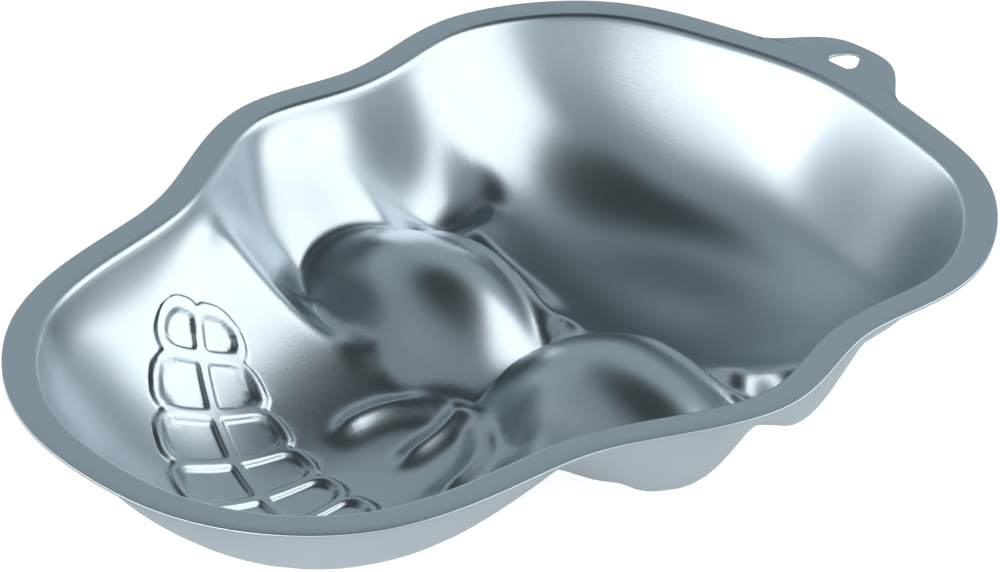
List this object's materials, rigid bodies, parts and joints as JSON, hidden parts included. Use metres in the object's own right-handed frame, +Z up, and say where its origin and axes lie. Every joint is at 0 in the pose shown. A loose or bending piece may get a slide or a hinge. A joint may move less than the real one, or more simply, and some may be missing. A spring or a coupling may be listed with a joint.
{
  "type": "novelty cake pan",
  "caption": "Skull-shaped cake pan pressed from one aluminium sheet, with a flat rim, a hanging tab and a hollow face with eye domes, nose and rows of teeth.",
  "frame": {"origin": "under the middle of the pan's outline, hanging tab included, at the height of its lowest point", "axes": "+X across the face, +Y from the chin to the crown and its hanging tab, +Z up, out of the open rim"},
  "size_m": [0.2202, 0.3138, 0.0575],
  "materials": {
    "satin_aluminium": "satin"
  },
  "bodies": {
    "root": {"pan_sheet": "satin_aluminium"}
  },
  "joints": []
}
